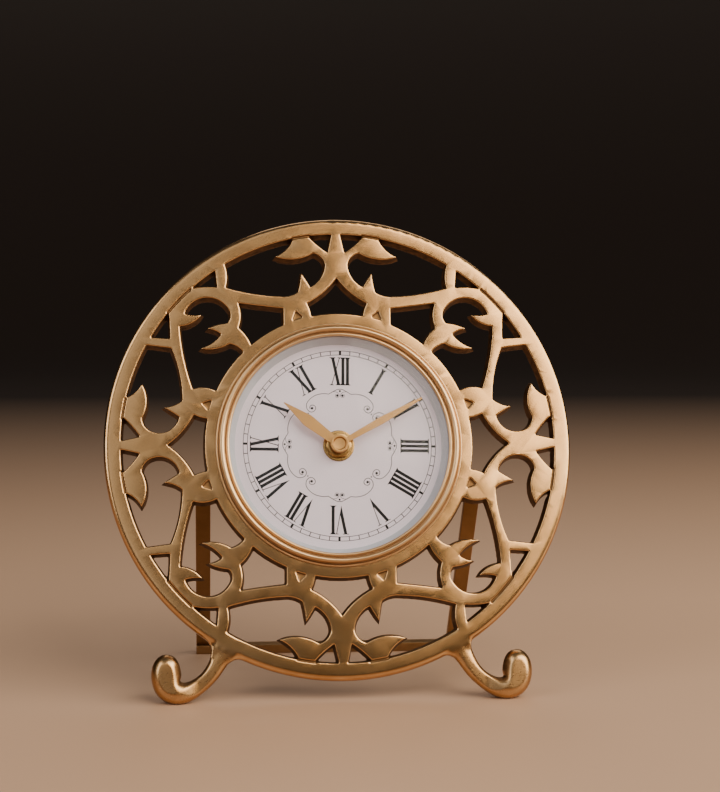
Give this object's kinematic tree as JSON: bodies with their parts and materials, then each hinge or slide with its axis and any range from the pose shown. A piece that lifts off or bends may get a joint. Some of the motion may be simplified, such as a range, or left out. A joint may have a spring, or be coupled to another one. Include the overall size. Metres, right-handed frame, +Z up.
{
  "type": "table clock",
  "caption": "Round table clock: cast brass openwork plate on scroll feet, bezelled dial with hands, battery movement and a folding strut behind.",
  "frame": {"origin": "on the table, under the middle of the clock's box", "axes": "+X to the viewer's right, +Y to the back, +Z up; the dial faces -Y and leans back"},
  "size_m": [0.2014, 0.0962, 0.2008],
  "materials": {
    "cast_brass": "polished cast brass with darker as-cast walls",
    "strut_brass": "matt brass strip",
    "pin_steel": "plated steel",
    "bezel_brass": "polished spun brass",
    "clear_glass": "clear domed glass",
    "spacer_grey": "satin pale grey",
    "dial_white": "matt white card with black print",
    "can_steel": "black lacquered spun can",
    "black_rubber": "black rubber",
    "fitting_brass": "turned brass",
    "hand_gold": "satin gold sheet",
    "wheel_plastic": "moulded wheels",
    "black_plastic": "moulded black plastic",
    "coil_copper": "enamelled copper wire",
    "board_green": "circuit board",
    "crystal_steel": "tin can",
    "cell_jacket": "plain dark jacket"
  },
  "bodies": {
    "frame": {"frame_casting": "cast_brass", "left_foot": "cast_brass", "right_foot": "cast_brass", "left_hinge_bracket": "strut_brass", "right_hinge_bracket": "strut_brass", "left_hinge_pin": "pin_steel", "right_hinge_pin": "pin_steel", "third_wheel": "pin_steel", "fourth_wheel": "pin_steel", "stator": "pin_steel", "rotor": "pin_steel", "positive_contact": "pin_steel", "negative_contact": "pin_steel", "bezel_ring": "bezel_brass", "glass_lens": "clear_glass", "dial_spacer_ring": "spacer_grey", "dial_card": "dial_white", "insert_can": "can_steel", "grip_band": "black_rubber", "rubber_washer": "black_rubber", "threaded_bush": "fitting_brass", "dial_washer": "fitting_brass", "hex_nut": "fitting_brass", "centre_wheel": "fitting_brass", "movement_case": "black_plastic", "movement_back": "black_plastic", "train_plate": "black_plastic", "coil": "coil_copper", "circuit_board": "board_green", "quartz_crystal": "crystal_steel", "aa_battery": "cell_jacket"},
    "strut": {"left_strut_leg": "strut_brass", "right_strut_leg": "strut_brass", "strut_crossbar": "strut_brass"},
    "minute_work": {"minute_arbor": "fitting_brass", "minute_hand": "hand_gold", "cap_nut": "hand_gold"},
    "hour_work": {"hour_wheel": "wheel_plastic", "hour_hand": "hand_gold"},
    "minute_wheel": {"minute_wheel": "wheel_plastic"},
    "setting_knob": {"setting_knob": "black_plastic"}
  },
  "joints": [
    {"name": "strut_fold", "type": "hinge", "parent": "frame", "child": "strut", "pos_m": [0, -0.01065, 0.08288], "axis": [1, 0, 0], "range_deg": [-51, 0]},
    {"name": "minute_spin", "type": "hinge", "parent": "frame", "child": "minute_work", "pos_m": [0, -0.01547, 0.10508], "axis": [0, 0.9563, -0.2924], "continuous": true},
    {"name": "hour_spin", "type": "hinge", "parent": "frame", "child": "hour_work", "pos_m": [0, -0.01547, 0.10508], "axis": [0, 0.9563, -0.2924], "continuous": true},
    {"name": "minute_wheel_spin", "type": "hinge", "parent": "frame", "child": "minute_wheel", "pos_m": [0, -0.01196, 0.11656], "axis": [0, 0.9563, -0.2924], "continuous": true},
    {"name": "setting_knob_spin", "type": "hinge", "parent": "frame", "child": "setting_knob", "pos_m": [0.01203, -0.01017, 0.12242], "axis": [0, 0.9563, -0.2924], "continuous": true}
  ],
  "couplings": [
    {"joint": "hour_spin", "follows": "minute_spin", "ratio": 0.083333},
    {"joint": "minute_wheel_spin", "follows": "minute_spin", "ratio": -0.33333},
    {"joint": "setting_knob_spin", "follows": "minute_spin", "ratio": 0.66667}
  ]
}
